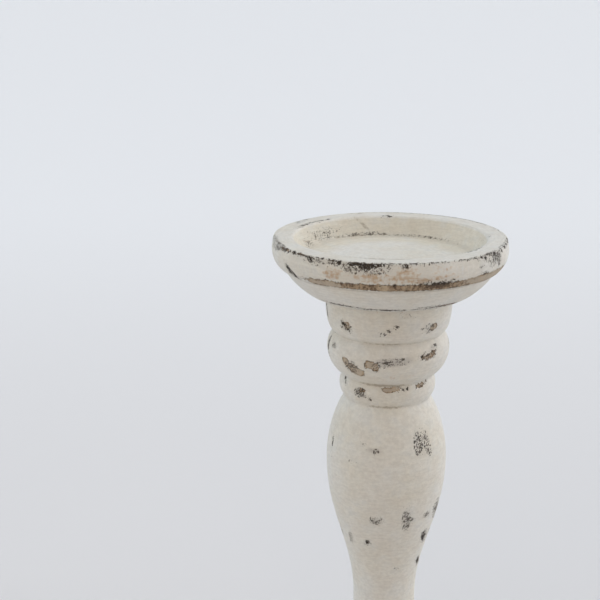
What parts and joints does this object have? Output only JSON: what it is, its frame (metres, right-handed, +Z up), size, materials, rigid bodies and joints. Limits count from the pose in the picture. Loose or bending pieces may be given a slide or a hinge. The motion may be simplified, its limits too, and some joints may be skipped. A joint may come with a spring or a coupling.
{
  "type": "pillar candlestick",
  "caption": "Turned wooden candlestick with a shallow round candle recess, a beaded vase-shaped stem and a domed round base, in distressed off-white paint.",
  "frame": {"origin": "centre of the footprint, on the floor under the felt pads", "axes": "+Z up along the turning axis; +X and +Y are equivalent, each between two felt pads"},
  "size_m": [0.1144, 0.1144, 0.24],
  "materials": {
    "painted_wood": "off-white chalk paint rubbed back to a dark undercoat and brown wood at the edges",
    "beech": "plain unfinished beech",
    "zinc_steel": "zinc-plated steel, slightly dull",
    "felt": "pressed brown felt"
  },
  "bodies": {
    "root": {"candle_dish": "painted_wood", "stem": "painted_wood", "base": "painted_wood", "dish_dowel": "beech", "base_screw": "zinc_steel", "screw_washer": "zinc_steel", "felt_pad_1": "felt", "felt_pad_2": "felt", "felt_pad_3": "felt", "felt_pad_4": "felt"}
  },
  "joints": []
}
